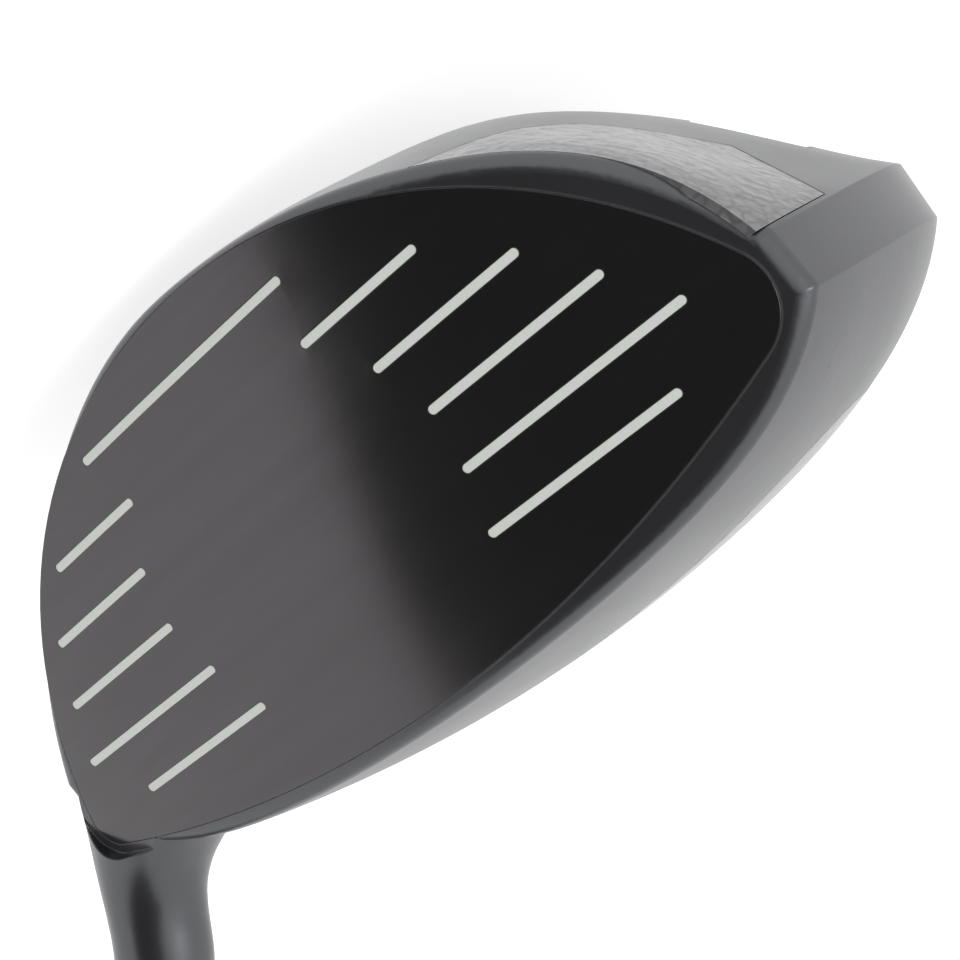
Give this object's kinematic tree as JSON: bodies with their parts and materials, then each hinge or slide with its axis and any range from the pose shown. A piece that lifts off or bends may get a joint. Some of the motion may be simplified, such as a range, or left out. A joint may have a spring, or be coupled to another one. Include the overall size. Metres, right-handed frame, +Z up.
{
  "type": "golf driver",
  "caption": "Right-handed golf driver: hollow deep-backed head with a scored face and sliding sole weight, adjustable hosel, tapered shaft and rubber grip.",
  "frame": {"origin": "centre of the flat rest pad on the sole, on the ground", "axes": "+Z up at address, the face looks along -Y, the toe is at -X and the shaft leans towards +X in the XZ plane"},
  "size_m": [0.7227, 0.1095, 0.9873],
  "materials": {
    "shell_metal": "satin dark grey paint",
    "face_metal": "fine heel-to-toe brushing under a dark coat",
    "crown_composite": "painted carbon composite, satin",
    "sole_composite": "crinkled carbon composite, satin",
    "raw_titanium": "bare titanium",
    "black_plastic": "black nylon",
    "track_alloy": "dark anodised",
    "weight_steel": "satin tungsten steel",
    "screw_steel": "turned steel",
    "adapter_alloy": "black anodised",
    "ferrule_plastic": "polished black",
    "shaft_graphite": "lacquered carbon fibre",
    "plug_brass": "turned brass",
    "tape_fabric": "double-sided paper tape",
    "grip_rubber": "textured rubber"
  },
  "bodies": {
    "shaft_assembly": {"shaft": "shaft_graphite", "tip_plug": "plug_brass", "adapter_sleeve": "adapter_alloy", "loft_cog": "adapter_alloy", "ferrule": "ferrule_plastic", "grip_tape": "tape_fabric", "grip": "grip_rubber", "grip_cap": "grip_rubber"},
    "head": {"head_body": "shell_metal", "face_plate": "face_metal", "crown_shell": "crown_composite", "toe_panel": "sole_composite", "heel_panel": "sole_composite", "brace_toe": "raw_titanium", "brace_heel": "raw_titanium", "screw_retainer": "black_plastic", "weight_track": "track_alloy"},
    "hosel_screw": {"hosel_screw": "screw_steel", "screw_washer": "screw_steel"},
    "sliding_weight": {"weight_block": "weight_steel", "weight_clamp": "screw_steel"},
    "weight_screw": {"weight_screw": "screw_steel"}
  },
  "joints": [
    {"name": "head_release", "type": "slide", "parent": "shaft_assembly", "child": "head", "axis": [-0.5299, 0, -0.848], "range_m": [0, 0.008]},
    {"name": "hosel_screw_turn", "type": "hinge", "parent": "head", "child": "hosel_screw", "pos_m": [0.05188, 0, 0.03053], "axis": [0.5299, 0, 0.848], "range_deg": [0, 3600]},
    {"name": "weight_travel", "type": "hinge", "parent": "head", "child": "sliding_weight", "pos_m": [0, 0.012, 0.025], "axis": [0, 0.2521, 0.9677], "range_deg": [-62, 62]},
    {"name": "weight_screw_turn", "type": "hinge", "parent": "sliding_weight", "child": "weight_screw", "pos_m": [0, 0.06729, 0.01036], "axis": [0, -0.4289, 0.9033], "range_deg": [0, 360]}
  ],
  "couplings": [
    {"joint": "hosel_screw_turn", "follows": "head_release", "rad_per_m": 7854}
  ]
}
